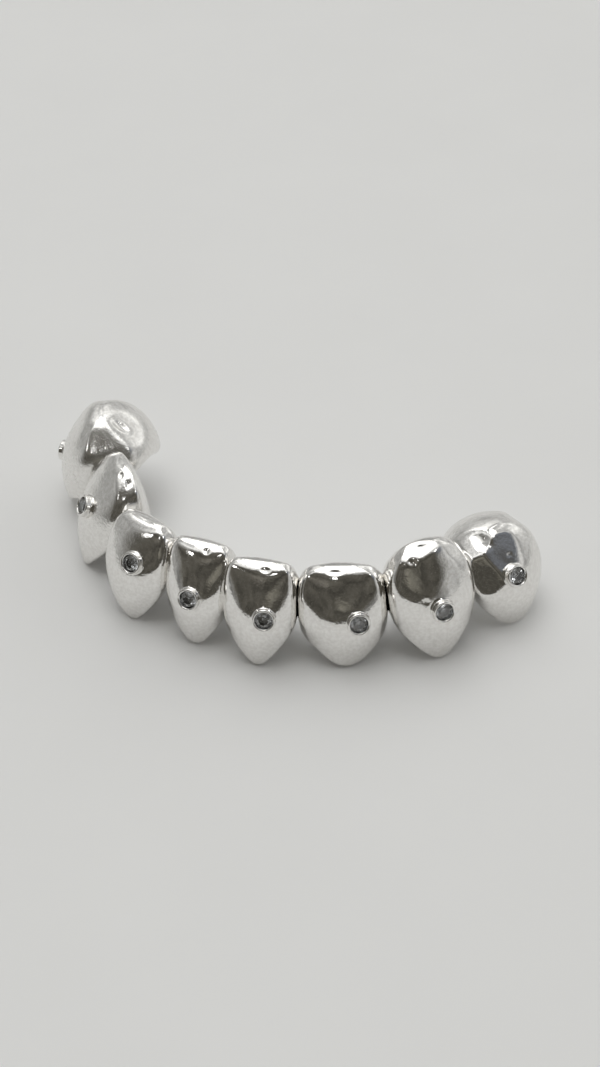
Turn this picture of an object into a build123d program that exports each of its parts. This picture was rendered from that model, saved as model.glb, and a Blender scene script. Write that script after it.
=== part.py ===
from build123d import *
from collections import namedtuple
from math import atan2, cos, hypot, radians, sin, sqrt
import os

# A row of eight hollow tooth caps for the lower front teeth, cast in one piece, with a small faceted
# stone in a raised collar on the front of each cap. Lengths are in millimetres and angles in degrees.
# X runs along the row from the wearer's right to the left, Y from the lips to the tongue, and Z up from
# the gum edge to the biting edge. The origin is under the middle of the row's bounding box.

# Cap sizes: width along the row, height, and the reach of front and back from the biting edge
CENTRAL_WIDTH = 5.95
LATERAL_WIDTH = 7.0
CANINE_WIDTH = 7.4
PREMOLAR_WIDTH = 7.7
INCISOR_HEIGHT = 8.85
CANINE_HEIGHT = 10.2
PREMOLAR_HEIGHT = 9.3
INCISOR_FRONT = 3.7
INCISOR_BACK = 2.85
CANINE_FRONT = 3.95
CANINE_BACK = 3.3
PREMOLAR_FRONT = 3.9
PREMOLAR_BACK = 5.0

# What a cap's front or back has lost of its reach by the sides, and how round its corners are, both shares
FACE_FALL = 0.46
CORNER_ROUND = 0.95

# The shell, how far neighbouring caps run into each other, and the gum edge
WALL = 0.6
CONTACT = 0.35
EDGE_PEAK = 4.1
EDGE_POINT = 0.95
EDGE_TURN = 44
EDGE_SLOPE = 0.24

# The stones and the collars that hold them
STONE_DIAMETER = 1.4
TABLE_DIAMETER = 0.8
CROWN_HEIGHT = 0.2
GIRDLE_HEIGHT = 0.06
PAVILION_HEIGHT = 0.5
CULET_DIAMETER = 0.08
FACETS = 8
STONE_CLEARANCE = 0.04
STONE_DEPTH = 0.05
COLLAR_WALL = 0.22
COLLAR_PROUD = 0.5
COLLAR_ROOT = 0.35
COLLAR_BEVEL = 0.08

# Sections of a cap from the gum up: shares of its height, half width, front reach and back reach
Section = namedtuple("Section", "height half front back")
CENTRAL_FORM = [
    Section(-0.15, 0.60, 0.84, 0.80),
    Section(0.03, 0.73, 0.94, 0.91),
    Section(0.22, 0.88, 0.99, 0.98),
    Section(0.45, 0.99, 0.97, 0.88),
    Section(0.62, 1.00, 0.84, 0.70),
    Section(0.78, 0.98, 0.62, 0.52),
    Section(0.90, 0.90, 0.40, 0.39),
    Section(0.97, 0.78, 0.24, 0.27),
    Section(1.00, 0.58, 0.10, 0.14),
]
LATERAL_FORM = [
    Section(-0.15, 0.58, 0.84, 0.80),
    Section(0.03, 0.72, 0.94, 0.91),
    Section(0.22, 0.88, 0.99, 0.98),
    Section(0.45, 1.00, 0.97, 0.88),
    Section(0.62, 1.00, 0.84, 0.71),
    Section(0.78, 0.96, 0.62, 0.54),
    Section(0.90, 0.84, 0.40, 0.41),
    Section(0.97, 0.66, 0.24, 0.29),
    Section(1.00, 0.42, 0.10, 0.15),
]
CANINE_FORM = [
    Section(-0.15, 0.60, 0.84, 0.82),
    Section(0.03, 0.73, 0.94, 0.93),
    Section(0.22, 0.88, 1.00, 1.00),
    Section(0.45, 1.00, 0.97, 0.92),
    Section(0.62, 1.00, 0.84, 0.78),
    Section(0.76, 0.92, 0.63, 0.61),
    Section(0.88, 0.74, 0.41, 0.43),
    Section(0.96, 0.50, 0.24, 0.28),
    Section(1.00, 0.24, 0.11, 0.13),
]
PREMOLAR_FORM = [
    Section(-0.15, 0.62, 0.84, 0.82),
    Section(0.03, 0.76, 0.94, 0.93),
    Section(0.22, 0.89, 1.00, 1.00),
    Section(0.45, 1.00, 0.98, 0.99),
    Section(0.62, 1.00, 0.88, 0.95),
    Section(0.76, 0.93, 0.69, 0.83),
    Section(0.88, 0.75, 0.48, 0.61),
    Section(0.96, 0.50, 0.31, 0.35),
    Section(1.00, 0.24, 0.15, 0.14),
]

Kind = namedtuple("Kind", "form width height front back")
KINDS = {
    "central": Kind(CENTRAL_FORM, CENTRAL_WIDTH, INCISOR_HEIGHT, INCISOR_FRONT, INCISOR_BACK),
    "lateral": Kind(LATERAL_FORM, LATERAL_WIDTH, INCISOR_HEIGHT, INCISOR_FRONT, INCISOR_BACK),
    "canine": Kind(CANINE_FORM, CANINE_WIDTH, CANINE_HEIGHT, CANINE_FRONT, CANINE_BACK),
    "premolar": Kind(PREMOLAR_FORM, PREMOLAR_WIDTH, PREMOLAR_HEIGHT, PREMOLAR_FRONT, PREMOLAR_BACK),
}

# The caps from the wearer's right to the left. turn is how far the front faces away from straight ahead,
# heading the direction from the cap before. width, height, front and back are shares of the kind's sizes.
# peak, point and slope are shares of the gum edge's height between the teeth, of the radius of its tip and
# of its rise to the back. lift is the tip's height as a share of EDGE_PEAK, and shift its place along the
# row as a share of the half width. tilt is how far the biting edge leans back, as a share of the half width.
# side and up place the stone, as shares of the half width and height.
COLUMNS = "name kind turn heading width height front back peak point slope lift shift tilt side up"
Cap = namedtuple("Cap", COLUMNS)
CAPS = [
    Cap("right_premolar", "premolar", -62, 0, 1.08, 1.05, 1.14, 0.98,
        1.05, 1.5, 2.2, 0.07, 0.00, 0.0, -0.50, 0.42),
    Cap("right_canine", "canine", -45, -55, 1.04, 0.95, 1.04, 0.74,
        1.07, 1.1, 1.0, 0.00, 0.10, 0.3, 0.03, 0.63),
    Cap("right_lateral", "lateral", -14, -37, 0.97, 0.98, 1.06, 1.10,
        1.04, 1.0, 1.0, 0.00, 0.15, 0.0, 0.25, 0.71),
    Cap("right_central", "central", 2, -9, 0.99, 0.985, 1.03, 1.10,
        1.00, 1.2, 1.0, 0.05, 0.05, 0.0, 0.02, 0.60),
    Cap("left_central", "central", 10, -6, 1.05, 1.00, 0.98, 1.11,
        1.02, 1.0, 1.0, 0.05, 0.00, 0.0, 0.28, 0.605),
    Cap("left_lateral", "lateral", 22, 19, 1.06, 0.96, 0.95, 1.06,
        0.85, 2.6, 1.0, 0.05, 0.08, 0.0, 0.37, 0.58),
    Cap("left_canine", "canine", 42, 29, 0.98, 1.00, 0.90, 1.13,
        1.03, 1.3, 1.0, 0.03, -0.05, 0.0, 0.05, 0.54),
    Cap("left_premolar", "premolar", 63, 58, 0.93, 0.885, 0.97, 1.02,
        0.95, 2.2, 1.8, 0.00, -0.22, 0.0, -0.16, 0.645),
]

# How much of a cap's front and back reach counts where it leans on its neighbour, as a share
LEAN_SHARE = 0.8
# The gum edge is a little wider than the cap, and what it cuts off reaches past every wall
EDGE_SHARE = 1.03
CUT_REACH = 12.0
# Thinnest the hollow gets under the biting edge
HOLLOW_END = 0.15

# Shape of a cap


def sizes(cap):
    """A cap's half width, height, front reach and back reach."""
    kind = KINDS[cap.kind]
    return kind.width * cap.width / 2, kind.height * cap.height, kind.front * cap.front, kind.back * cap.back


def face_points(half, depth):
    """Points of three tangent arcs, corner, face and corner, from x = half round (0, depth) to x = -half."""
    fall = FACE_FALL * depth
    radius = (half**2 + fall**2) / (2 * fall)
    corner = CORNER_ROUND * min(depth - fall, half / 2)
    rise = sqrt((radius - corner) ** 2 - (half - corner) ** 2)
    level = depth - radius + rise
    turn = atan2(rise, half - corner)
    angles = (0, turn / 2, turn)
    start = [(half - corner + corner * cos(angle), level + corner * sin(angle)) for angle in angles]
    return start + [(0, depth)] + [(-x, y) for x, y in reversed(start)]


def arcs(points):
    """Edges through seven points, three to an arc."""
    return [Edge.make_three_point_arc(*points[first : first + 3]) for first in (0, 2, 4)]


def outline(half, front, back, height, shift):
    """Closed section of a cap: the front's arcs towards -Y, the back's arcs and two straight sides."""
    front_points = [(x, shift - y, height) for x, y in face_points(half, front)]
    back_points = [(-x, shift + y, height) for x, y in face_points(half, back)]
    left = Edge.make_line(front_points[-1], back_points[0])
    right = Edge.make_line(back_points[-1], front_points[0])
    return Wire(arcs(front_points) + [left] + arcs(back_points) + [right])


def body(cap):
    """The cap's outer form, before its gum edge is cut and its inside hollowed."""
    half, height, front, back = sizes(cap)
    wires = []
    for row in KINDS[cap.kind].form:
        shift = cap.tilt * half * row.height
        wires.append(outline(row.half * half, row.front * front, row.back * back, row.height * height, shift))
    return Solid.make_loft(wires)


def hollow(cap):
    """The space for the tooth: the outer form less the wall, carried down past the gum edge."""
    half, height, front, back = sizes(cap)
    inner_height = height - WALL
    wires = []
    for row in KINDS[cap.kind].form:
        inner_front = row.front * front - WALL
        inner_back = row.back * back - WALL
        if inner_front + inner_back > HOLLOW_END and row.half * half - WALL > HOLLOW_END:
            inner_front = max(inner_front, HOLLOW_END)
            inner_back = max(inner_back, HOLLOW_END)
            level = row.height * inner_height
            shift = cap.tilt * half * row.height
            wires.append(outline(row.half * half - WALL, inner_front, inner_back, level, shift))
    return Solid.make_loft(wires)


def gum_cut(cap):
    """What is cut away below the gum edge: a rounded V that dips to the cap's tip and rises to the back."""
    half, height, front, back = sizes(cap)
    reach = half * EDGE_SHARE
    peak = EDGE_PEAK * cap.peak
    point = EDGE_POINT * cap.point
    slope = EDGE_SLOPE * cap.slope
    tip = EDGE_PEAK * cap.lift + slope * front
    turn = radians(EDGE_TURN)
    middle = cap.shift * half
    level = tip + point * (1 - cos(turn))
    right = (middle + point * sin(turn), 0, level)
    left = (middle - point * sin(turn), 0, level)
    sides = [
        Edge.make_tangent_arc(right, (cos(turn), 0, sin(turn)), (reach, 0, peak)),
        Edge.make_tangent_arc(left, (-cos(turn), 0, sin(turn)), (-reach, 0, peak)),
    ]
    corners = [
        (reach, 0, peak),
        (reach + CUT_REACH, 0, peak),
        (reach + CUT_REACH, 0, -CUT_REACH),
        (-reach - CUT_REACH, 0, -CUT_REACH),
        (-reach - CUT_REACH, 0, peak),
        (-reach, 0, peak),
    ]
    lines = [Edge.make_line(start, end) for start, end in zip(corners, corners[1:])]
    lip = Edge.make_three_point_arc(left, (middle, 0, tip), right)
    face = Face(Wire([lip] + sides + lines))
    return extrude(face, amount=CUT_REACH, dir=(0, 1, slope), both=True)


# Places of the caps along the row


def lean(cap, heading):
    """How far a cap reaches towards a neighbour that stands in the direction heading."""
    half, height, front, back = sizes(cap)
    angle = radians(heading - cap.turn)
    return hypot(half * cos(angle), LEAN_SHARE * (front + back) / 2 * sin(angle))


def places():
    """Location of each cap, walking along the row from one neighbour to the next."""
    x = y = 0.0
    found = []
    for number, cap in enumerate(CAPS):
        if number:
            pitch = lean(CAPS[number - 1], cap.heading) + lean(cap, cap.heading) - CONTACT
            x += pitch * cos(radians(cap.heading))
            y += pitch * sin(radians(cap.heading))
        found.append(Location((x, y, 0), (0, 0, cap.turn)))
    return found


# Stones and their collars


def seat_plane(cap, form):
    """Plane on the front of a cap at its stone, facing straight out."""
    half, height, front, back = sizes(cap)
    aim = Axis((cap.side * half, -CUT_REACH, cap.up * height), (0, 1, 0))
    point, normal = min(form.shell().find_intersection_points(aim), key=lambda hit: hit[0].Y)
    if normal.Y > 0:
        normal = -normal
    return Plane(origin=point, x_dir=(1, 0, 0), z_dir=normal)


def polygon(plane, radius, level):
    """Ring of a cut stone's corners, at a level above the plane."""
    angles = [radians(360 / FACETS * (number + 0.5)) for number in range(FACETS)]
    ring = [(radius * cos(angle), radius * sin(angle), level) for angle in angles]
    return Wire.make_polygon([plane.from_local_coords(corner) for corner in ring], close=True)


def girdle_level():
    """Height of the girdle's top above the cap's face, with the table just below the collar's rim."""
    return COLLAR_PROUD - STONE_DEPTH - CROWN_HEIGHT


def stone(plane):
    """A cut stone: table, crown facets, girdle and pavilion facets down to a small culet."""
    top = girdle_level()
    low = top - GIRDLE_HEIGHT
    rings = [
        polygon(plane, CULET_DIAMETER / 2, low - PAVILION_HEIGHT),
        polygon(plane, STONE_DIAMETER / 2, low),
        polygon(plane, STONE_DIAMETER / 2, top),
        polygon(plane, TABLE_DIAMETER / 2, top + CROWN_HEIGHT),
    ]
    return Solid.make_loft(rings, ruled=True)


def collar(plane):
    """The ring that stands up round a stone, rooted in the cap's wall."""
    radius = STONE_DIAMETER / 2 + STONE_CLEARANCE + COLLAR_WALL
    tube = Solid.make_cylinder(radius, COLLAR_ROOT + COLLAR_PROUD, plane.offset(-COLLAR_ROOT))
    rim = tube.edges().sort_by(Axis(plane.origin, plane.z_dir))[-1]
    return tube.chamfer(COLLAR_BEVEL, None, [rim])


def seat(plane):
    """The stone's bore: straight down to the girdle and then a cone round the pavilion."""
    radius = STONE_DIAMETER / 2 + STONE_CLEARANCE
    low = girdle_level() - GIRDLE_HEIGHT - STONE_CLEARANCE
    bore = Solid.make_cylinder(radius, COLLAR_PROUD - low, plane.offset(low))
    foot = CULET_DIAMETER / 2 + STONE_CLEARANCE
    depth = PAVILION_HEIGHT
    cone = Solid.make_cone(foot, radius, depth, plane.offset(low - depth))
    return bore.fuse(cone)


# The row


def build():
    """The row of caps as one solid, and its stones by name, over the origin."""
    shells, hollows, collars, seats, stones = [], [], [], [], {}
    for cap, place in zip(CAPS, places()):
        form = body(cap)
        plane = Plane(place * seat_plane(cap, form).location)
        shells.append(place * (form - gum_cut(cap)))
        hollows.append(place * hollow(cap))
        collars.append(collar(plane))
        seats.append(seat(plane))
        stones[cap.name + "_stone"] = stone(plane)
    row = shells[0].fuse(*shells[1:], *collars).cut(*hollows, *seats)
    box = row.bounding_box()
    middle = (box.min + box.max) / 2
    shift = Location((-middle.X, -middle.Y, -box.min.Z))
    nodes = {"cap_row": shift * row}
    nodes.update({name: shift * solid for name, solid in stones.items()})
    return nodes


os.makedirs("parts", exist_ok=True)
for name, shape in build().items():
    export_step(shape, "parts/" + name + ".step")
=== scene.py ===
import math
from collections import namedtuple

import bmesh
import bpy
import mathutils
import numpy as np
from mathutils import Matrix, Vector
from mathutils.kdtree import KDTree


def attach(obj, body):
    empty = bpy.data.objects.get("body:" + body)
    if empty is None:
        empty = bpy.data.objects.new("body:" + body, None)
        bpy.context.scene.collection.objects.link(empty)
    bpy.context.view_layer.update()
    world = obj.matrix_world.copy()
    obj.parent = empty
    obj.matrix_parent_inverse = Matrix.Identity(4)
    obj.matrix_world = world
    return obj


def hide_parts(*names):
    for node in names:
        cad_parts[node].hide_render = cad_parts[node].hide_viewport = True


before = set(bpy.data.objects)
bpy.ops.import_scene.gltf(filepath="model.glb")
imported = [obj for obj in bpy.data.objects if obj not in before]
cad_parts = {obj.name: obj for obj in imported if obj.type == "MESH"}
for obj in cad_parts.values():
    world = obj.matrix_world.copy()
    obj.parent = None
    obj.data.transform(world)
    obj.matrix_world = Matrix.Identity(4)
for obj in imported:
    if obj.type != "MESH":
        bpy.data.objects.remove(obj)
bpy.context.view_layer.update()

# Lengths here are in millimetres, and MM turns them into the scene's metres.
# Right and left are the wearer's. X runs from right to left, Y from the lips to the tongue, Z up.
MM = 0.001

# Sizes, as in the construction

# Width, height, front reach and back reach of each kind of cap
KINDS = {
    "central": (5.95, 8.85, 3.7, 2.85),
    "lateral": (7.0, 8.85, 3.7, 2.85),
    "canine": (7.4, 10.2, 3.95, 3.3),
    "premolar": (7.7, 9.3, 3.9, 5.0),
}
# Sections from the gum up: shares of height, half width, front reach and back reach
FORMS = {
    "central": [(-0.15, 0.60, 0.84, 0.80), (0.03, 0.73, 0.94, 0.91), (0.22, 0.88, 0.99, 0.98),
                (0.45, 0.99, 0.97, 0.88), (0.62, 1.00, 0.84, 0.70), (0.78, 0.98, 0.62, 0.52),
                (0.90, 0.90, 0.40, 0.39), (0.97, 0.78, 0.22, 0.25), (0.995, 0.60, 0.08, 0.11)],
    "lateral": [(-0.15, 0.58, 0.84, 0.80), (0.03, 0.72, 0.94, 0.91), (0.22, 0.88, 0.99, 0.98),
                (0.45, 1.00, 0.97, 0.88), (0.62, 1.00, 0.84, 0.71), (0.78, 0.96, 0.62, 0.54),
                (0.90, 0.84, 0.40, 0.41), (0.97, 0.66, 0.22, 0.27), (0.995, 0.44, 0.08, 0.11)],
    "canine": [(-0.15, 0.60, 0.84, 0.82), (0.03, 0.73, 0.94, 0.93), (0.22, 0.88, 1.00, 1.00),
               (0.45, 1.00, 0.97, 0.92), (0.62, 1.00, 0.84, 0.78), (0.76, 0.92, 0.63, 0.61),
               (0.88, 0.74, 0.41, 0.43), (0.96, 0.50, 0.24, 0.28), (0.993, 0.26, 0.10, 0.12)],
    "premolar": [(-0.15, 0.62, 0.84, 0.82), (0.03, 0.76, 0.94, 0.93), (0.22, 0.89, 1.00, 1.00),
                 (0.45, 1.00, 0.98, 0.99), (0.62, 1.00, 0.88, 0.95), (0.76, 0.93, 0.69, 0.83),
                 (0.88, 0.75, 0.48, 0.61), (0.96, 0.50, 0.31, 0.35), (0.993, 0.27, 0.14, 0.13)],
}
# Half width left at the very top, where front and back meet in a ridge
RIDGE = {"central": 0.46, "lateral": 0.32, "canine": 0.14, "premolar": 0.14}

# What a face has lost of its reach by the sides, and how round its corners are, both shares
FACE_FALL = 0.46
CORNER_ROUND = 0.95

# turn is how far a cap's front faces away from straight ahead, heading the direction from the cap before.
# width to back are shares of the kind's sizes, and peak to lift of the gum edge's. shift moves the edge's tip
# sideways and tilt leans the cap's top back, both as shares of the half width.
COLUMNS = "kind turn heading width height front back peak point slope lift shift tilt"
Cap = namedtuple("Cap", COLUMNS)
CAPS = {
    "right_premolar": Cap("premolar", -62, 0, 1.08, 1.05, 1.14, 0.98, 1.05, 1.5, 2.2, 0.07, 0.00, 0.0),
    "right_canine": Cap("canine", -45, -55, 1.04, 0.95, 1.04, 0.74, 1.07, 1.1, 1.0, 0.00, 0.10, 0.3),
    "right_lateral": Cap("lateral", -14, -37, 0.97, 0.98, 1.06, 1.10, 1.04, 1.0, 1.0, 0.00, 0.15, 0.0),
    "right_central": Cap("central", 2, -9, 0.99, 0.985, 1.03, 1.10, 1.00, 1.2, 1.0, 0.05, 0.05, 0.0),
    "left_central": Cap("central", 10, -6, 1.05, 1.00, 0.98, 1.11, 1.02, 1.0, 1.0, 0.05, 0.00, 0.0),
    "left_lateral": Cap("lateral", 22, 19, 1.06, 0.96, 0.95, 1.06, 0.85, 2.6, 1.0, 0.05, 0.08, 0.0),
    "left_canine": Cap("canine", 42, 29, 0.98, 1.00, 0.90, 1.13, 1.03, 1.3, 1.0, 0.03, -0.05, 0.0),
    "left_premolar": Cap("premolar", 63, 58, 0.93, 0.885, 0.97, 1.02, 0.95, 2.2, 1.8, 0.00, -0.22, 0.0),
}
# Place of the first cap's middle, how far neighbours run into each other, and how much of a cap's depth
# counts where it leans on its neighbour
START = (-17.966, 5.384, -0.072)
CONTACT = 0.35
LEAN_SHARE = 0.8

# Thickness of the metal
WALL = 0.6
# Gum edge: its height by the neighbours, the radius of its tip and how far round that arc goes, its rise for
# each millimetre towards the back, and its reach to each side as a share of the half width
EDGE_PEAK = 4.1
EDGE_POINT = 0.95
EDGE_TURN = math.radians(44)
EDGE_SLOPE = 0.24
EDGE_SHARE = 1.03
# How far the rounded gum edge bulges below the walls it joins
LIP = 0.3

# Radius of a stone's girdle and of its table, height of its crown, girdle and pavilion, radius of its culet,
# its play in the collar, and how deep its table lies below the rim
STONE_RADIUS = 0.7
STONE_TABLE = 0.4
STONE_CROWN = 0.2
STONE_GIRDLE = 0.06
STONE_PAVILION = 0.5
STONE_CULET = 0.04
STONE_CLEARANCE = 0.04
STONE_DEPTH = 0.05
# Radius at the points of the stars, and at the lower ends of the facets under the girdle
STONE_STAR = 0.56
STONE_LOWER = 0.2
# A collar's wall, how far it stands out of the cap and how far it goes in
COLLAR_WALL = 0.22
COLLAR_PROUD = 0.5
COLLAR_ROOT = 0.35
# The rim stays this much lower, as its rounding has more facets here
COLLAR_TRIM = 0.003
# Radius and flare of the foot on the cap, what the bore's rounded mouth leaves of the rim, and how far above
# the rim the bore is cut
COLLAR_FOOT = 0.1
FOOT_FLARE = 0.06
MOUTH_TRIM = 0.005
BORE_ABOVE = 0.3
# Where the foot's arc starts, in degrees, and points along it, along the rim's and round a collar
FOOT_START = -100
FOOT_POINTS = 4
RIM_POINTS = 7
AROUND = 48
# From a collar's middle to just past its rim
COLLAR_REACH = 1.12
# Points this near to an end of a stone belong to its table or its culet
STONE_END = 0.01

# Work on the caps' outside

# Flat worn or filed places: the way each faces in its cap's frame, in degrees from the front towards the
# cap's left and in degrees up, how deep it is cut, and how far its rim is rounded
Flat = namedtuple("Flat", "cap turn lift depth soft")
FLATS = [
    Flat("right_premolar", 150, 58, 0.25, 0.10),
    Flat("right_premolar", 92, 48, 0.26, 0.16),
    Flat("right_canine", 72, 58, 0.22, 0.14),
    Flat("left_canine", -26, 63, 0.30, 0.05),
    Flat("left_canine", 42, 40, 0.18, 0.05),
    Flat("left_premolar", -42, 26, 0.40, 0.05),
    Flat("left_premolar", -75, 62, 0.35, 0.05),
    Flat("left_premolar", -12, 42, 0.26, 0.04),
]
# Shallow dents: the face of the cap that each is on, its place as shares of half width and height, then its
# half width, half height and depth
Dent = namedtuple("Dent", "cap face side up wide tall depth")
DENTS = [
    Dent("right_premolar", "back", 0.32, 0.92, 0.60, 1.30, 0.22),
    Dent("right_premolar", "front", 0.40, 0.93, 0.40, 1.00, 0.10),
    Dent("right_canine", "front", 0.32, 0.965, 0.30, 0.40, 0.10),
    Dent("right_canine", "front", 0.57, 0.92, 0.30, 0.50, 0.12),
    Dent("right_lateral", "front", 0.15, 0.35, 0.90, 0.60, 0.07),
    Dent("right_central", "front", 0.26, 0.975, 0.35, 0.35, 0.12),
    Dent("left_central", "front", 0.19, 0.975, 0.55, 0.35, 0.10),
    Dent("left_lateral", "front", -0.10, 0.98, 0.80, 0.35, 0.10),
    Dent("left_canine", "front", -0.42, 0.91, 0.55, 0.42, 0.12),
    Dent("left_canine", "front", -0.30, 0.62, 0.35, 0.45, 0.05),
    Dent("left_premolar", "front", -0.45, 0.93, 1.20, 0.85, 0.14),
    Dent("left_premolar", "front", -0.05, 0.80, 0.22, 0.20, 0.06),
]
# Waviness of the polished surface: length and height of the waves
Wave = namedtuple("Wave", "length height")
WAVES = [Wave(2.2, 0.07), Wave(1.0, 0.03)]
# Step in the noise from one cap to the next
NOISE_STEP = (7.3, 1.9, 4.1)

# Where the wall is left satin from the blasting, 1, or polished bright, 0: the way the middle of each zone
# faces, how many degrees round that it reaches, and its share of satin; later zones lie over earlier ones,
# and each fades out over ZONE_SOFT degrees
Zone = namedtuple("Zone", "cap turn lift reach satin")
ZONE_SOFT = 12
ZONES = [
    Zone("right_premolar", 0, 0, 180, 0.9),
    Zone("right_premolar", 105, 50, 62, 0.75),
    Zone("right_canine", 0, 0, 180, 0.8),
    Zone("right_canine", 80, 50, 42, 0.4),
    Zone("right_lateral", -45, 45, 38, 0.6),
    Zone("left_canine", 40, 36, 26, 0.6),
    Zone("left_premolar", 0, 0, 180, 0.8),
    Zone("left_premolar", -46, 36, 48, 0.05),
]
# How far towards the tongue a wall faces where it counts as a cap's back
BACK_FACING = 0.3
# Share of satin on every cap's back, inside and gum edge
BACK_SATIN = 0.5
INSIDE_SATIN = 1.0
EDGE_SATIN = 0.35

# Caps

# Points on a cap's front and on its back from side to side, and rows up its outside, inside and edge
ACROSS = 57
ROWS = 64
INNER_ROWS = 18
LIP_ROWS = 6
# Rows by the ridge over which the dents and waves fade out
FADE_ROWS = 3
# Halvings that find the gum edge on a wall, and the knot of the wall that they start under
HALVINGS = 40
HIGH_KNOT = 5
# Least half width of any section, and least half width and depth of a section of the hollow
NARROWEST = 0.05
THINNEST = 0.15
# How far above its last section the hollow closes, and how much of that section's half width is left there
CLOSE_RISE = 0.05
CLOSE_SHARE = 0.8
# Least depth and half width of the surface between the sections
LEAST_DEPTH = 0.001
LEAST_HALF = 0.01
# How much half width and depth count in the spacing of a wall's knots
HALF_COUNTS = 0.3
DEPTH_COUNTS = 0.7
# Below TINY a length counts as none, and a bend as a straight line, drawn as an arc of the STRAIGHT radius
TINY = 1e-6
STRAIGHT = 1e6
# Points nearer than this are one point, and an edge shorter than this is left out
MERGE = 0.004
SHORTEST = 0.001


def half_sizes(cap):
    """A cap's half width, height, front reach and back reach."""
    width, height, front, back = KINDS[cap.kind]
    return width * cap.width / 2, height * cap.height, front * cap.front, back * cap.back


def lean(cap, heading):
    """How far a cap reaches towards a neighbour that stands in the direction heading."""
    half, _, front, back = half_sizes(cap)
    angle = math.radians(heading - cap.turn)
    return math.hypot(half * math.cos(angle), LEAN_SHARE * (front + back) / 2 * math.sin(angle))


def cap_places():
    """Middle of each cap, walking along the row from one neighbour to the next."""
    place, last, found = np.array(START), None, {}
    for name, cap in CAPS.items():
        if last:
            angle = math.radians(cap.heading)
            pitch = lean(last, cap.heading) + lean(cap, cap.heading) - CONTACT
            place = place + pitch * np.array([math.cos(angle), math.sin(angle), 0])
        found[name], last = place, cap
    return found


def natural_spline(t, values, at):
    """Natural cubic spline through values at knots t, read at the points at."""
    n = len(t)
    gaps = np.diff(t)
    matrix = np.eye(n)
    right = np.zeros((n, values.shape[1]))
    for i in range(1, n - 1):
        matrix[i, i - 1 : i + 2] = gaps[i - 1], 2 * (gaps[i - 1] + gaps[i]), gaps[i]
        right[i] = 6 * ((values[i + 1] - values[i]) / gaps[i] - (values[i] - values[i - 1]) / gaps[i - 1])
    bend = np.linalg.solve(matrix, right)
    i = np.clip(np.searchsorted(t, at) - 1, 0, n - 2)
    h = gaps[i][..., None]
    a = (t[i + 1] - at)[..., None] / h
    b = 1 - a
    return (a * values[i] + b * values[i + 1]
            + ((a**3 - a) * bend[i] + (b**3 - b) * bend[i + 1]) * h**2 / 6)


class Wall:
    """One smooth surface of a cap, outer or inner, in the cap's own frame."""

    def __init__(self, cap, inset):
        self.half, self.height, self.front, self.back = half_sizes(cap)
        self.tilt = cap.tilt * self.half / (self.height - inset)
        rows = FORMS[cap.kind] + [(1.0, RIDGE[cap.kind], 0.0, 0.0)]
        table = np.array([
            (share * (self.height - inset), max(half * self.half - inset, NARROWEST),
             max(near * self.front - inset, 0.0), max(far * self.back - inset, 0.0))
            for share, half, near, far in rows])
        if inset:
            keep = [row for row in table if row[2] + row[3] > THINNEST and row[1] > THINNEST]
            last = keep[-1]
            keep.append((last[0] + CLOSE_RISE, last[1] * CLOSE_SHARE, 0.0, 0.0))
            table = np.array(keep)
        inwards = HALF_COUNTS * np.diff(table[:, 1]) + DEPTH_COUNTS * np.diff(table[:, 2] + table[:, 3])
        steps = np.hypot(np.diff(table[:, 0]), inwards)
        self.knots = np.concatenate([[0], np.cumsum(steps)])
        self.table = table

    def point(self, t, across, way):
        """Points at t up the cap, across its front (way -1) or back (way 1) from side (1) to side (-1)."""
        height, half, near, far = np.moveaxis(natural_spline(self.knots, self.table, t), -1, 0)
        depth = np.maximum(np.where(way < 0, near, far), LEAST_DEPTH)
        half = np.maximum(half, LEAST_HALF)
        x, y = face_point(half, depth, 1 - np.abs(across))
        return np.stack([np.sign(across) * x, way * y + self.tilt * height, height], -1)


def face_point(half, depth, share):
    """Point of a face with round corners, from its side (share 0) to its middle (share 1)."""
    fall = FACE_FALL * depth
    radius = (half**2 + fall**2) / (2 * fall)
    corner = CORNER_ROUND * np.minimum(depth - fall, half / 2)
    rise = np.sqrt((radius - corner) ** 2 - (half - corner) ** 2)
    turn = np.arctan2(rise, half - corner)
    rest = math.pi / 2 - turn
    length = corner * turn + radius * rest
    bend = (corner * turn / length + turn / (math.pi / 2)) / 2
    on_corner = share < bend
    angle = np.where(on_corner, turn * share / bend, turn + rest * (share - bend) / (1 - bend))
    x = np.where(on_corner, half - corner + corner * np.cos(angle), radius * np.cos(angle))
    y = np.where(on_corner, rise + corner * np.sin(angle), radius * np.sin(angle))
    return x, depth - radius + y


def edge_height(cap, half, front, x, y):
    """Height of the gum edge: an arc at the tip, an arc up to each neighbour, all rising to the back."""
    reach = half * EDGE_SHARE
    peak = EDGE_PEAK * cap.peak
    point = EDGE_POINT * cap.point
    slope = EDGE_SLOPE * cap.slope
    tip = EDGE_PEAK * cap.lift + slope * front
    middle = cap.shift * half
    off = np.abs(x - middle)
    low = tip + point - np.sqrt(np.maximum(point**2 - off**2, 0))
    start = np.array([point * math.sin(EDGE_TURN), tip + point * (1 - math.cos(EDGE_TURN))])
    height = np.zeros_like(x)
    for way in (1, -1):
        end = np.array([reach - way * middle, peak])
        run = end - start
        normal = np.array([-math.sin(EDGE_TURN), math.cos(EDGE_TURN)])
        bend = run @ normal
        radius = run @ run / (2 * bend) if abs(bend) > TINY else STRAIGHT
        centre = start + normal * radius
        rise = np.sqrt(np.maximum(radius**2 - (off - centre[0]) ** 2, 0))
        side = centre[1] - math.copysign(1, radius) * rise
        side = np.where(off > end[0], peak, side)
        height = np.where((x - middle) * way > 0, side, height)
    return np.where(off <= start[0], low, height) + slope * y


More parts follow.
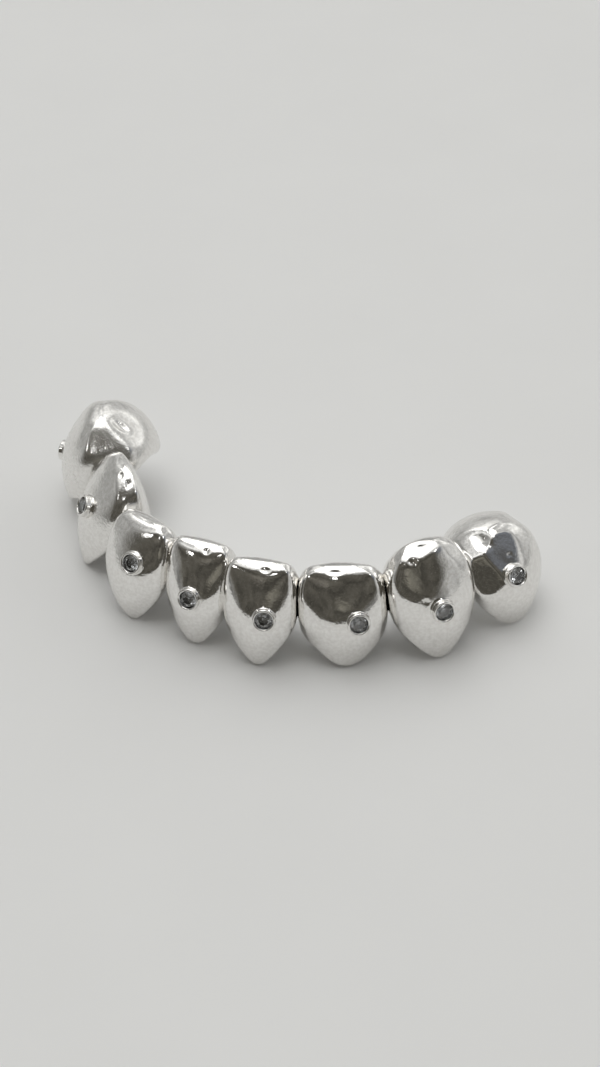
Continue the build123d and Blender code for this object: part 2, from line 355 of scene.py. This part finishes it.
def grid(cap, inset, rows):
    """Rows of points from just above the gum edge to the ridge."""
    wall = Wall(cap, inset)
    half, _, front, _ = half_sizes(cap)
    share = np.linspace(1, -1, ACROSS)
    across = np.concatenate([share, share[::-1]])
    way = np.repeat([1, -1], ACROSS)
    low = np.full(2 * ACROSS, wall.knots[0])
    high = np.full(2 * ACROSS, wall.knots[HIGH_KNOT])
    for _ in range(HALVINGS):
        middle = (low + high) / 2
        at = wall.point(middle, across, way)
        under = at[:, 2] < edge_height(cap, half, front, at[:, 0], at[:, 1]) + LIP
        low = np.where(under, middle, low)
        high = np.where(under, high, middle)
    t = low[None] + (wall.knots[-1] - low[None]) * np.linspace(0, 1, rows)[:, None]
    return wall.point(t, across, way)


def towards(turn, lift):
    """Direction in a cap's own frame, turn degrees from its front towards its left and lift degrees up."""
    turn, lift = math.radians(turn), math.radians(lift)
    return np.array([math.sin(turn) * math.cos(lift), -math.cos(turn) * math.cos(lift), math.sin(lift)])


def outward(rings):
    """Outward direction at each point of a cap's outer wall."""
    along = np.roll(rings, -1, 1) - np.roll(rings, 1, 1)
    up = np.gradient(rings, axis=0)
    normal = np.cross(along, up)
    normal /= np.maximum(np.linalg.norm(normal, axis=2, keepdims=True), 1e-9)
    return normal


def relief(name, rings):
    """A cap's outer wall with its flats, its small dents and the waviness of work by hand."""
    for flat in FLATS:
        if flat.cap == name:
            aim = towards(flat.turn, flat.lift)
            over = rings @ aim
            over -= over.max() - flat.depth
            push = flat.soft * np.logaddexp(0, over / flat.soft)
            rings = rings - push[..., None] * aim
    wall = outward(rings)
    half, height, _, _ = half_sizes(CAPS[name])
    sink = np.zeros(rings.shape[:2])
    for dent in DENTS:
        if dent.cap == name:
            first = {"back": 0, "front": ACROSS}[dent.face]
            offset = rings[:, first : first + ACROSS, ::2] - np.array([dent.side * half, dent.up * height])
            row, column = np.unravel_index(np.argmin(np.linalg.norm(offset, axis=2)), offset.shape[:2])
            column += first
            level = np.cross(wall[row, column], (0, 0, 1))
            level /= np.linalg.norm(level)
            steep = np.cross(level, wall[row, column])
            apart = rings - rings[row, column]
            distance = np.hypot(apart @ level / dent.wide, apart @ steep / dent.tall)
            sink += dent.depth * np.maximum(1 - distance**2, 0) ** 2
    phase = noise_seed(name)
    for wave in WAVES:
        bumps = [[mathutils.noise.noise(Vector(p / wave.length) + phase) for p in ring] for ring in rings]
        sink += wave.height * (1 + np.array(bumps)) / 2
    fade = np.clip((len(rings) - 1 - np.arange(len(rings))) / FADE_ROWS, 0, 1)[:, None]
    return rings - wall * (sink * fade)[..., None]


def noise_seed(name):
    """A place in the noise for each cap, so that no two are alike."""
    return Vector(NOISE_STEP) * (1 + list(CAPS).index(name))


def satin_shares(name, rings):
    """How satin a cap's outer wall is at each of its points."""
    wall = outward(rings)
    share = np.where(wall[..., 1] > BACK_FACING, BACK_SATIN, 0.0)
    for zone in ZONES:
        if zone.cap == name:
            angle = np.degrees(np.arccos(np.clip(wall @ towards(zone.turn, zone.lift), -1, 1)))
            cover = np.clip((zone.reach - angle) / ZONE_SOFT + 0.5, 0, 1)
            share = share + (zone.satin - share) * cover
    return share


def cap_mesh(name, cap, place):
    """A closed hollow cap: outer wall, rounded gum edge and inner wall, and how satin each point is."""
    outer = relief(name, grid(cap, 0, ROWS))
    inner = grid(cap, WALL, INNER_ROWS)
    turn = np.pi * (np.arange(1, LIP_ROWS) / LIP_ROWS)[:, None, None]
    lip = outer[0] * (1 + np.cos(turn)) / 2 + inner[0] * (1 - np.cos(turn)) / 2
    lip[..., 2] -= LIP * np.sin(turn[..., 0])
    rings = np.concatenate([outer[::-1], lip, inner])
    satin = np.concatenate([satin_shares(name, outer)[::-1], np.full(lip.shape[:2], EDGE_SATIN),
                            np.full(inner.shape[:2], INSIDE_SATIN)])
    angle = math.radians(cap.turn)
    cosine, sine = math.cos(angle), math.sin(angle)
    spin = np.array([[cosine, -sine, 0], [sine, cosine, 0], [0, 0, 1]])
    rings = rings @ spin.T + place
    bm = bmesh.new()
    verts = [[bm.verts.new(p * MM) for p in ring] for ring in rings]
    around = len(verts[0])
    for one, two in zip(verts, verts[1:]):
        for k in range(around):
            bm.faces.new((one[k], one[(k + 1) % around], two[(k + 1) % around], two[k]))
    bmesh.ops.remove_doubles(bm, verts=verts[0] + verts[-1], dist=MERGE * MM)
    bmesh.ops.dissolve_degenerate(bm, edges=bm.edges, dist=SHORTEST * MM)
    bmesh.ops.recalc_face_normals(bm, faces=bm.faces)
    return to_object(name, bm), list(zip(rings.reshape(-1, 3), satin.ravel()))


def mark_satin(thing, samples, seats):
    """Give each point of the joined row the satin share of the nearest cap point; collars are bright."""
    finder = KDTree(len(samples))
    for number, (point, share) in enumerate(samples):
        finder.insert(point, number)
    finder.balance()
    marks = thing.data.attributes.get("satin") or thing.data.attributes.new("satin", "FLOAT", "POINT")
    middles = np.array([origin for origin, axis in seats])
    for vertex in thing.data.vertices:
        point = np.array(vertex.co) / MM
        on_collar = np.linalg.norm(middles - point, axis=1).min() < COLLAR_REACH
        marks.data[vertex.index].value = 0 if on_collar else samples[finder.find(point)[1]][1]


def to_object(name, bm):
    """A new object from a bmesh."""
    mesh = bpy.data.meshes.new(name)
    bm.to_mesh(mesh)
    bm.free()
    thing = bpy.data.objects.new(name, mesh)
    bpy.context.scene.collection.objects.link(thing)
    return thing


def combine(target, tool, operation):
    """Boolean of two closed meshes; the tool goes."""
    change = target.modifiers.new("combine", "BOOLEAN")
    change.operation = operation
    change.solver = "EXACT"
    change.object = tool
    graph = bpy.context.evaluated_depsgraph_get()
    mesh = bpy.data.meshes.new_from_object(target.evaluated_get(graph))
    target.modifiers.clear()
    old = target.data
    target.data = mesh
    bpy.data.meshes.remove(old)
    spent = tool.data
    bpy.data.objects.remove(tool)
    bpy.data.meshes.remove(spent)


# Stones and collars


def stone_place(name):
    """Where a stone's seat meets the cap's face, and the way it faces, from the frame's own stone."""
    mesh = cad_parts[name].data
    points = np.array([v.co for v in mesh.vertices]) / MM
    middle = points.mean(0)
    extent, axes = np.linalg.eigh(np.cov((points - middle).T))
    odd = 0 if extent[1] - extent[0] > extent[2] - extent[1] else 2
    axis = axes[:, odd]
    along = (points - middle) @ axis
    radial = np.linalg.norm(points - middle - along[:, None] * axis, axis=1)
    top = along > along.max() - STONE_END
    bottom = along < along.min() + STONE_END
    if radial[top].max() < radial[bottom].max():
        axis, along = -axis, -along
    table = middle + axis * along.max()
    return table - axis * (COLLAR_PROUD - STONE_DEPTH), axis


def basis(axis):
    """Two directions across an axis, the first level."""
    level = np.cross((0, 0, 1), axis)
    level /= np.linalg.norm(level)
    return level, np.cross(axis, level)


def lathe(name, place, profile, around):
    """A closed turned form from (radius, height) points; it starts and ends on the axis."""
    origin, axis = place
    one, two = basis(axis)
    bm = bmesh.new()
    rings = []
    for radius, level in profile:
        if radius < TINY:
            rings.append([bm.verts.new((origin + axis * level) * MM)])
            continue
        ways = [one * math.cos(a) + two * math.sin(a) for a in 2 * np.pi * np.arange(around) / around]
        rings.append([bm.verts.new((origin + axis * level + radius * way) * MM) for way in ways])
    for low, high in zip(rings, rings[1:]):
        for k in range(around):
            n = k + 1
            quad = (low[k % len(low)], low[n % len(low)], high[n % len(high)], high[k % len(high)])
            corners = list(dict.fromkeys(quad))
            if len(corners) > 2:
                bm.faces.new(corners)
    bmesh.ops.recalc_face_normals(bm, faces=bm.faces)
    return to_object(name, bm)


def arc_points(middle, radius, start, end, count):
    """Points on an arc of a profile, angles in degrees from straight outwards."""
    angles = np.radians(np.linspace(start, end, count))
    return [(middle[0] + radius * math.cos(a), middle[1] + radius * math.sin(a)) for a in angles]


def collar_profile():
    """Outside of a collar: a small foot on the cap, a straight wall and a rounded rim."""
    outer = STONE_RADIUS + STONE_CLEARANCE + COLLAR_WALL
    round_rim = COLLAR_WALL / 2
    foot = COLLAR_FOOT
    top = COLLAR_PROUD - COLLAR_TRIM
    rim = (outer - round_rim, top - round_rim)
    return ([(0, -COLLAR_ROOT), (outer + FOOT_FLARE, -COLLAR_ROOT)]
            + arc_points((outer + foot, foot), foot, FOOT_START, -180, FOOT_POINTS)
            + arc_points(rim, round_rim, 0, 90, RIM_POINTS)
            + [(0, top)])


def bore_profile():
    """What is cut out of a collar: a rounded mouth, a straight bore and a cone for the stone."""
    bore = STONE_RADIUS + STONE_CLEARANCE
    round_rim = COLLAR_WALL / 2 - MOUTH_TRIM
    low = COLLAR_PROUD - STONE_DEPTH - STONE_CROWN - STONE_GIRDLE - STONE_CLEARANCE
    foot = STONE_CULET + STONE_CLEARANCE
    mouth = (bore + round_rim, COLLAR_PROUD - 2 * COLLAR_TRIM - round_rim)
    return ([(0, low - STONE_PAVILION), (foot, low - STONE_PAVILION), (bore, low)]
            + arc_points(mouth, round_rim, 180, 90, RIM_POINTS)
            + [(bore + round_rim, COLLAR_PROUD + BORE_ABOVE), (0, COLLAR_PROUD + BORE_ABOVE)])


def brilliant(name, place):
    """A round brilliant: table, stars, kites and girdle facets above, mains and girdle facets below."""
    origin, axis = place
    one, two = basis(axis)
    table = COLLAR_PROUD - STONE_DEPTH
    top = table - STONE_CROWN
    low = top - STONE_GIRDLE
    culet = low - STONE_PAVILION
    crown_fall = (table - top) / (STONE_RADIUS - STONE_TABLE)
    pavilion_fall = (low - culet) / (STONE_RADIUS - STONE_CULET)
    eighth = math.pi / 8
    star_level = table - crown_fall * (STONE_STAR * math.cos(eighth) - STONE_TABLE)
    lower_level = culet + pavilion_fall * (STONE_LOWER * math.cos(eighth) - STONE_CULET)
    bm = bmesh.new()

    def vert(radius, angle, level):
        across = one * math.cos(angle) + two * math.sin(angle)
        return bm.verts.new((origin + across * radius + axis * level) * MM)

    tables = [vert(STONE_TABLE, 2 * k * eighth, table) for k in range(8)]
    stars = [vert(STONE_STAR, (2 * k + 1) * eighth, star_level) for k in range(8)]
    girdle_top = [vert(STONE_RADIUS, k * eighth, top) for k in range(16)]
    girdle_low = [vert(STONE_RADIUS, k * eighth, low) for k in range(16)]
    belows = [vert(STONE_LOWER, (2 * k + 1) * eighth, lower_level) for k in range(8)]
    culets = [vert(STONE_CULET, 2 * k * eighth, culet) for k in range(8)]
    bm.faces.new(tables)
    bm.faces.new(culets[::-1])
    for k in range(8):
        n = (k + 1) % 8
        here, next_one, beyond = 2 * k, 2 * k + 1, (2 * k + 2) % 16
        bm.faces.new((tables[k], stars[k], tables[n]))
        bm.faces.new((tables[k], stars[k - 1], girdle_top[here], stars[k]))
        bm.faces.new((stars[k], girdle_top[here], girdle_top[next_one]))
        bm.faces.new((stars[k], girdle_top[next_one], girdle_top[beyond]))
        bm.faces.new((belows[k], girdle_low[next_one], girdle_low[here]))
        bm.faces.new((belows[k], girdle_low[beyond], girdle_low[next_one]))
        bm.faces.new((culets[k], belows[k], girdle_low[here], belows[k - 1]))
        bm.faces.new((culets[k], culets[n], belows[k]))
    for k in range(16):
        n = (k + 1) % 16
        bm.faces.new((girdle_top[k], girdle_low[k], girdle_low[n], girdle_top[n]))
    bmesh.ops.recalc_face_normals(bm, faces=bm.faces)
    return to_object(name, bm)


# Materials

# Noise in them: its scale in waves per metre, its detail, and the stretch of it that is used
Noise = namedtuple("Noise", "scale detail low high", defaults=(0, 1))
POLISH_NOISE = Noise(900, 4, 0.35, 0.7)
SATIN_NOISE = Noise(1500, 3, 0.3, 0.7)
SAND_NOISE = Noise(3600, 3, 0.35, 0.65)
STONE_NOISE = Noise(2500, 2, 0.3, 0.7)
WIPE_NOISE = Noise(1100, 2)
GRAIN_NOISE = Noise(5000, 2)
CARD_NOISE = Noise(60, 4)
# Roughness, from and to
POLISHED = (0.05, 0.11)
SATIN = (0.20, 0.32)
CLEAR = (0.0, 0.03)
# Depth in metres and strength of the wipe marks and of the grain, and the grain that polished metal has
WIPES = (0.00002, 0.5)
GRAIN = (0.000012, 0.8)
POLISHED_GRAIN = 0.6
# Colours, darkest and lightest
SILVER = ((0.80, 0.785, 0.76), (0.90, 0.89, 0.87))
CARD = ((0.84, 0.84, 0.83), (0.88, 0.88, 0.87))
CARD_ROUGHNESS = 0.8
STONE_COLOUR = (0.45, 0.46, 0.47)
STONE_REFRACTION = 2.2


def material(name):
    """An empty node material with its principled shader."""
    made = bpy.data.materials.new(name)
    made.use_nodes = True
    nodes = made.node_tree.nodes
    nodes.clear()
    out = nodes.new("ShaderNodeOutputMaterial")
    shader = nodes.new("ShaderNodeBsdfPrincipled")
    made.node_tree.links.new(shader.outputs[0], out.inputs["Surface"])
    return made, made.node_tree, shader


def noise(tree, kind, place=None):
    """Noise in the object's own coordinates, or in those of place."""
    place = place or tree.nodes.new("ShaderNodeTexCoord").outputs["Object"]
    node = tree.nodes.new("ShaderNodeTexNoise")
    node.inputs["Scale"].default_value = kind.scale
    node.inputs["Detail"].default_value = kind.detail
    tree.links.new(place, node.inputs["Vector"])
    return node.outputs["Fac"]


def noise_between(tree, kind, low, high, place=None):
    """Noise whose used stretch is mapped to the range from low to high."""
    node = tree.nodes.new("ShaderNodeMapRange")
    for socket, number in zip(("From Min", "From Max", "To Min", "To Max"), (kind.low, kind.high, low, high)):
        node.inputs[socket].default_value = number
    tree.links.new(noise(tree, kind, place), node.inputs["Value"])
    return node.outputs["Result"]


def math_node(tree, operation, first, second):
    """A value from two others, each a socket or a number."""
    node = tree.nodes.new("ShaderNodeMath")
    node.operation = operation
    for socket, value in zip(node.inputs, (first, second)):
        if isinstance(value, float):
            socket.default_value = value
        else:
            tree.links.new(value, socket)
    return node.outputs[0]


def bump(tree, height, distance, strength, below=None):
    """A bump on top of another."""
    node = tree.nodes.new("ShaderNodeBump")
    node.inputs["Strength"].default_value = strength
    node.inputs["Distance"].default_value = distance
    tree.links.new(height, node.inputs["Height"])
    if below:
        tree.links.new(below, node.inputs["Normal"])
    return node.outputs["Normal"]


def tint(tree, share, colours, shader):
    """Colour a shader between two colours by a share."""
    mix = tree.nodes.new("ShaderNodeMix")
    mix.data_type = "RGBA"
    mix.inputs["A"].default_value = (*colours[0], 1)
    mix.inputs["B"].default_value = (*colours[1], 1)
    tree.links.new(share, mix.inputs["Factor"])
    tree.links.new(mix.outputs["Result"], shader.inputs["Base Color"])


def polished_metal():
    """Silver, mirror polished with faint wipe marks, and blasted satin where its share says so."""
    made, tree, shader = material("polished_metal")
    tint(tree, noise_between(tree, SAND_NOISE, 0, 1), SILVER, shader)
    shader.inputs["Metallic"].default_value = 1.0
    share = tree.nodes.new("ShaderNodeAttribute")
    share.attribute_name = "satin"
    satin = share.outputs["Fac"]
    shine = noise_between(tree, POLISH_NOISE, *POLISHED)
    matt = noise_between(tree, SATIN_NOISE, *SATIN)
    added = math_node(tree, "MULTIPLY", math_node(tree, "SUBTRACT", matt, shine), satin)
    tree.links.new(math_node(tree, "ADD", shine, added), shader.inputs["Roughness"])
    wipes = bump(tree, noise(tree, WIPE_NOISE), *WIPES)
    strength = math_node(tree, "ADD", satin, POLISHED_GRAIN)
    grain = math_node(tree, "MULTIPLY", noise(tree, GRAIN_NOISE), strength)
    tree.links.new(bump(tree, grain, *GRAIN, wipes), shader.inputs["Normal"])
    return made


def cut_stone():
    """Clear stone of high refraction."""
    made, tree, shader = material("cut_stone")
    shader.inputs["Base Color"].default_value = (*STONE_COLOUR, 1)
    shader.inputs["Transmission Weight"].default_value = 1.0
    shader.inputs["IOR"].default_value = STONE_REFRACTION
    tree.links.new(noise_between(tree, STONE_NOISE, *CLEAR), shader.inputs["Roughness"])
    return made


def floor_card():
    """Matt white card."""
    made, tree, shader = material("floor_card")
    tint(tree, noise(tree, CARD_NOISE), CARD, shader)
    shader.inputs["Roughness"].default_value = CARD_ROUGHNESS
    return made


# The row

# The fold above which an edge is sharp
SHARP_ANGLE = math.radians(35)

metal = polished_metal()
gem = cut_stone()

row, samples = None, []
for name, place in cap_places().items():
    piece, marks = cap_mesh(name, CAPS[name], place)
    samples += marks
    if row is None:
        row = piece
        row.name = "caps"
    else:
        combine(row, piece, "UNION")
seats = {name: stone_place(name + "_stone") for name in CAPS}
for name, place in seats.items():
    combine(row, lathe("collar", place, collar_profile(), AROUND), "UNION")
for name, place in seats.items():
    combine(row, lathe("bore", place, bore_profile(), AROUND), "DIFFERENCE")
row.data.materials.clear()
row.data.materials.append(metal)
row.data.polygons.foreach_set("material_index", [0] * len(row.data.polygons))
row.data.polygons.foreach_set("use_smooth", [True] * len(row.data.polygons))
row.data.set_sharp_from_angle(angle=SHARP_ANGLE)
mark_satin(row, samples, seats.values())
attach(row, "root")
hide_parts("cap_row")

for name, place in seats.items():
    jewel = brilliant("jewel_" + name, place)
    jewel.data.materials.append(gem)
    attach(jewel, "root")
    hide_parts(name + "_stone")

# Floor, light and camera

# Half the floor's side, in metres
FLOOR_HALF = 1.5

bm = bmesh.new()
bmesh.ops.create_grid(bm, x_segments=1, y_segments=1, size=FLOOR_HALF)
floor = to_object("floor", bm)
floor.data.materials.append(floor_card())

# The camera stands where the photo's did, with its directions and its focal length. It turns to the point
# AIM_PX of the photo's frame, the middle of the piece, and magnifies by ZOOM to fill its view with the piece.
CAMERA = Vector((62.353, -107.467, 113.66))
CAMERA_RIGHT = Vector((0.91209, 0.4066, -0.05264))
CAMERA_FORWARD = Vector((-0.33635, 0.66867, -0.66313))
CAMERA_DOWN = Vector((0.23443, -0.62254, -0.74665))
FOCAL_PX = 769.07
AIM_PX = (280.5, 530.5)
ZOOM = 2.53
SENSOR = 36.0
FRAME_PX = (600, 1067)
# Nearest and farthest that it sees, in metres
CLIP = (0.005, 10)

camera_data = bpy.data.cameras.new("camera")
camera_data.sensor_width = SENSOR
camera_data.lens = FOCAL_PX * SENSOR / FRAME_PX[1] * ZOOM
camera_data.clip_start, camera_data.clip_end = CLIP
camera = bpy.data.objects.new("camera", camera_data)
bpy.context.scene.collection.objects.link(camera)
bpy.context.scene.camera = camera
across = (AIM_PX[0] - FRAME_PX[0] / 2) / FOCAL_PX
along = (AIM_PX[1] - FRAME_PX[1] / 2) / FOCAL_PX
look = (CAMERA_FORWARD + CAMERA_RIGHT * across + CAMERA_DOWN * along).normalized()
side = (CAMERA_RIGHT - look * CAMERA_RIGHT.dot(look)).normalized()
up = side.cross(look)
turn = camera.matrix_world.to_3x3()
for k in range(3):
    turn[k] = (side[k], up[k], -look[k])
camera.matrix_world = turn.to_4x4()
camera.location = CAMERA * MM

# A broad light from above, and small ones whose reflections glint in the stones and on the edges: their sizes
# and places in metres and their powers in watts
Light = namedtuple("Light", "name size place power")
LIGHTS = [
    Light("top_light", 0.35, (-0.1, 0.12, 0.5), 0.5),
    Light("glint_0", 0.05, (-0.25, -0.3, 0.35), 0.04),
    Light("glint_1", 0.05, (0.3, -0.1, 0.4), 0.04),
    Light("glint_2", 0.05, (0.05, -0.35, 0.45), 0.04),
]


def soft_light(light):
    """A square light pointed at the piece."""
    data = bpy.data.lights.new(light.name, "AREA")
    data.shape = "SQUARE"
    data.size = light.size
    data.energy = light.power
    lamp = bpy.data.objects.new(light.name, data)
    lamp.location = light.place
    lamp.rotation_mode = "QUATERNION"
    lamp.rotation_quaternion = (-Vector(light.place)).to_track_quat("-Z", "Y")
    bpy.context.scene.collection.objects.link(lamp)


for light in LIGHTS:
    soft_light(light)

world = bpy.data.worlds.new("studio")
bpy.context.scene.world = world
world.use_nodes = True
tree = world.node_tree
tree.nodes.clear()
output = tree.nodes.new("ShaderNodeOutputWorld")
background = tree.nodes.new("ShaderNodeBackground")
tree.links.new(background.outputs[0], output.inputs["Surface"])
background.inputs["Strength"].default_value = 1.0
sky = tree.nodes.new("ShaderNodeTexCoord").outputs["Generated"]

# Soft boxes and dark screens round the piece: the way each lies from it, azimuth from the front towards +X
# and elevation in degrees, its half width and half height in degrees, the softness of its edge, its colour
Screen = namedtuple("Screen", "azimuth elevation wide high soft colour")
ROOM = (0.52, 0.52, 0.51)
# How much the surroundings' light wavers, and the noise that it follows from one direction to the next
ROOM_WAVER = 0.45
ROOM_NOISE = Noise(5.0, 4, 0.3, 0.7)
# How strongly a screen is kept out of the half of the surroundings behind it
SCREEN_AWAY = 10
SCREENS = [
    Screen(-85, 15, 40, 32, 0.5, (0.36, 0.36, 0.35)),
    Screen(-150, 45, 26, 12, 0.5, (1.2, 1.2, 1.18)),
    Screen(-42, 62, 12, 8, 0.5, (1.5, 1.5, 1.48)),
    Screen(150, 30, 24, 14, 0.5, (1.0, 1.0, 0.98)),
    Screen(20, 86, 30, 12, 0.4, (1.5, 1.5, 1.48)),
    Screen(78, 40, 18, 12, 0.5, (0.15, 0.16, 0.18)),
    Screen(8, 31, 60, 39, 0.14, (0.085, 0.08, 0.068)),
    Screen(24, 20, 9, 6, 0.6, (0.2, 0.19, 0.16)),
    Screen(-8, 38, 8, 5, 0.6, (0.16, 0.15, 0.13)),
]


def dot(direction):
    """The view direction's share along a direction."""
    node = tree.nodes.new("ShaderNodeVectorMath")
    node.operation = "DOT_PRODUCT"
    node.inputs[1].default_value = direction
    tree.links.new(sky, node.inputs[0])
    return node.outputs["Value"]


def add_screen(screen, behind):
    """A soft-edged oval in the surroundings, over the colour behind it."""
    turn, lift = math.radians(screen.azimuth), math.radians(screen.elevation)
    ahead = Vector((math.sin(turn) * math.cos(lift), -math.cos(turn) * math.cos(lift), math.sin(lift)))
    level = Vector((math.cos(turn), math.sin(turn), 0))
    away = tree.nodes.new("ShaderNodeMath")
    away.operation = "MAXIMUM"
    away.inputs[1].default_value = 0
    tree.links.new(dot(-SCREEN_AWAY * ahead), away.inputs[0])
    place = tree.nodes.new("ShaderNodeCombineXYZ")
    tree.links.new(dot(level / math.sin(math.radians(screen.wide))), place.inputs[0])
    tree.links.new(dot(level.cross(ahead) / math.sin(math.radians(screen.high))), place.inputs[1])
    tree.links.new(away.outputs[0], place.inputs[2])
    distance = tree.nodes.new("ShaderNodeVectorMath")
    distance.operation = "LENGTH"
    tree.links.new(place.outputs[0], distance.inputs[0])
    edge = tree.nodes.new("ShaderNodeMapRange")
    edge.interpolation_type = "SMOOTHSTEP"
    edge.inputs["From Min"].default_value = 1 + screen.soft
    edge.inputs["From Max"].default_value = 1 - screen.soft
    tree.links.new(distance.outputs["Value"], edge.inputs["Value"])
    mix = tree.nodes.new("ShaderNodeMix")
    mix.data_type = "RGBA"
    tree.links.new(edge.outputs["Result"], mix.inputs["Factor"])
    tree.links.new(behind, mix.inputs["A"])
    mix.inputs["B"].default_value = (*screen.colour, 1)
    return mix.outputs["Result"]


plain = tree.nodes.new("ShaderNodeRGB")
plain.outputs[0].default_value = (*ROOM, 1)
surroundings = plain.outputs[0]
for screen in SCREENS:
    surroundings = add_screen(screen, surroundings)
waver = noise_between(tree, ROOM_NOISE, 1 - ROOM_WAVER, 1 + ROOM_WAVER, sky)
wavering = tree.nodes.new("ShaderNodeVectorMath")
wavering.operation = "SCALE"
tree.links.new(surroundings, wavering.inputs[0])
tree.links.new(waver, wavering.inputs["Scale"])
tree.links.new(wavering.outputs[0], background.inputs["Color"])

view = bpy.context.scene.view_settings
view.view_transform = "Standard"
view.exposure = 0.0
